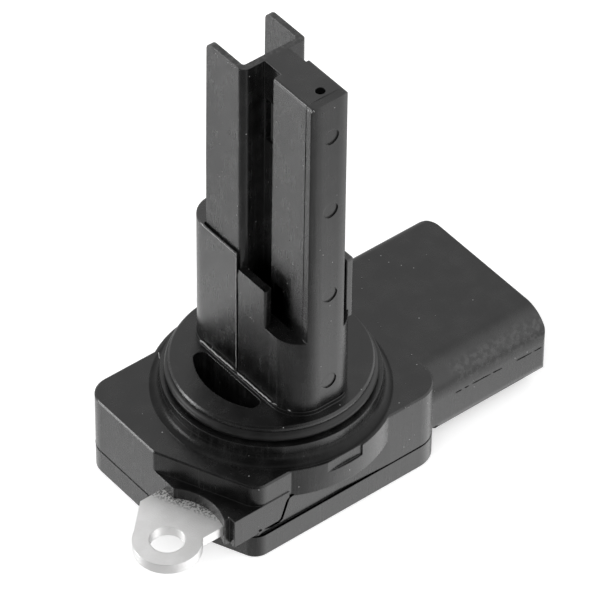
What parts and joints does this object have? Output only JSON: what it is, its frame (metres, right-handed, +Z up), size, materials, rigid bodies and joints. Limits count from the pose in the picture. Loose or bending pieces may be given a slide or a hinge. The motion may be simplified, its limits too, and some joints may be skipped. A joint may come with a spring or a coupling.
{
  "type": "mass airflow sensor",
  "caption": "Plug-in mass airflow sensor: a slotted probe on a round sealed flange, a flat body with bright metal ears and a wide connector shroud at the side.",
  "frame": {"origin": "on the axis of the round flange, in the plane of the back cover that the part rests on", "axes": "+Z up along the probe, +X towards the connector, -Y towards the probe's front plate"},
  "size_m": [0.0644, 0.0393, 0.0681],
  "materials": {
    "black_plastic": "satin moulded black",
    "seal_rubber": "smooth, slightly oiled",
    "plate_metal": "bright plated, fine matt",
    "tinned_brass": "tin plated",
    "ceramic_board": "fired, smooth",
    "chip_package": "matt",
    "film_chip": "polished",
    "bead_glass": "clear, slightly green",
    "sealant": "cured silicone"
  },
  "bodies": {
    "root": {"sensor_housing": "black_plastic", "back_cover": "black_plastic", "cover_seal": "sealant", "o_ring": "seal_rubber", "mounting_plate": "plate_metal", "probe_neck": "black_plastic", "duct_sleeve": "black_plastic", "bypass_duct": "black_plastic", "circuit_board": "ceramic_board", "control_chip": "chip_package", "chip_capacitors": "ceramic_board", "sensing_carrier": "chip_package", "sensing_chip": "film_chip", "thermistor_bead": "bead_glass", "thermistor_lead_left": "tinned_brass", "thermistor_lead_right": "tinned_brass", "terminal_1": "tinned_brass", "terminal_2": "tinned_brass", "terminal_3": "tinned_brass", "terminal_4": "tinned_brass", "terminal_5": "tinned_brass", "sensing_lead_1": "tinned_brass", "sensing_lead_2": "tinned_brass", "sensing_lead_3": "tinned_brass", "sensing_lead_4": "tinned_brass"}
  },
  "joints": []
}
